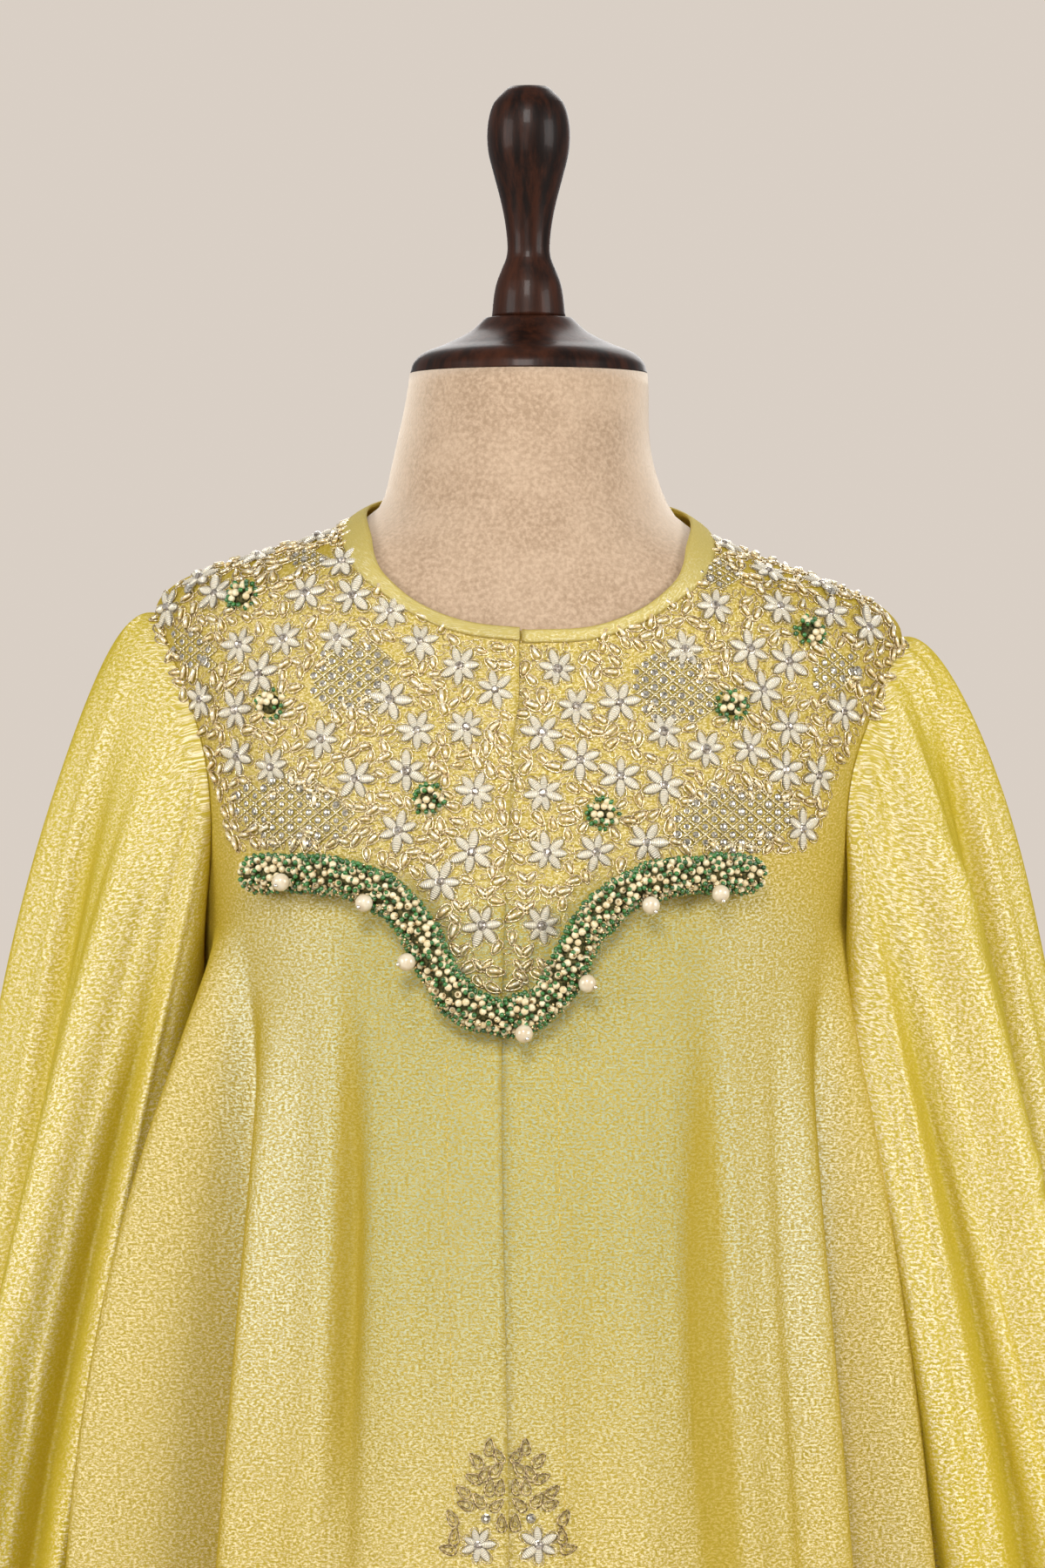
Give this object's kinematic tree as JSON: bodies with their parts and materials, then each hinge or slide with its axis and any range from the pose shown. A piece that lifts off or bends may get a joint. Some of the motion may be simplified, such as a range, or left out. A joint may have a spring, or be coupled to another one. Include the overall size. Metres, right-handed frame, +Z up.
{
  "type": "kaftan on a dress form with stand",
  "caption": "Full-length, wide-sleeved kaftan of sheer tissue cloth with a worked yoke, on a limbless dress form and its round stand.",
  "frame": {"origin": "centre of the underside of the stand's base, on the floor", "axes": "+Z up along the pole, the garment's front faces -Y, +X to the right as seen from the front"},
  "size_m": [0.6887, 0.4668, 1.6111],
  "materials": {
    "tissue_cloth": "satin",
    "seed_beads": "gloss",
    "pearl": "gloss",
    "flocked_form": "matt",
    "turned_wood": "gloss"
  },
  "bodies": {
    "root": {"front_left": "tissue_cloth", "front_right": "tissue_cloth", "back": "tissue_cloth", "sleeve_left": "tissue_cloth", "sleeve_right": "tissue_cloth", "neck_binding": "tissue_cloth", "bead_border": "seed_beads", "bead_tuft_1": "seed_beads", "bead_tuft_2": "seed_beads", "bead_tuft_3": "seed_beads", "bead_tuft_4": "seed_beads", "bead_tuft_5": "seed_beads", "bead_tuft_6": "seed_beads", "pearl_drop_1": "pearl", "pearl_drop_2": "pearl", "pearl_drop_3": "pearl", "pearl_drop_4": "pearl", "pearl_drop_5": "pearl", "pearl_drop_6": "pearl", "pearl_drop_7": "pearl", "form_torso": "flocked_form", "neck_cap": "turned_wood", "finial": "turned_wood", "stand_pole": "turned_wood", "stand_base": "turned_wood"}
  },
  "joints": []
}
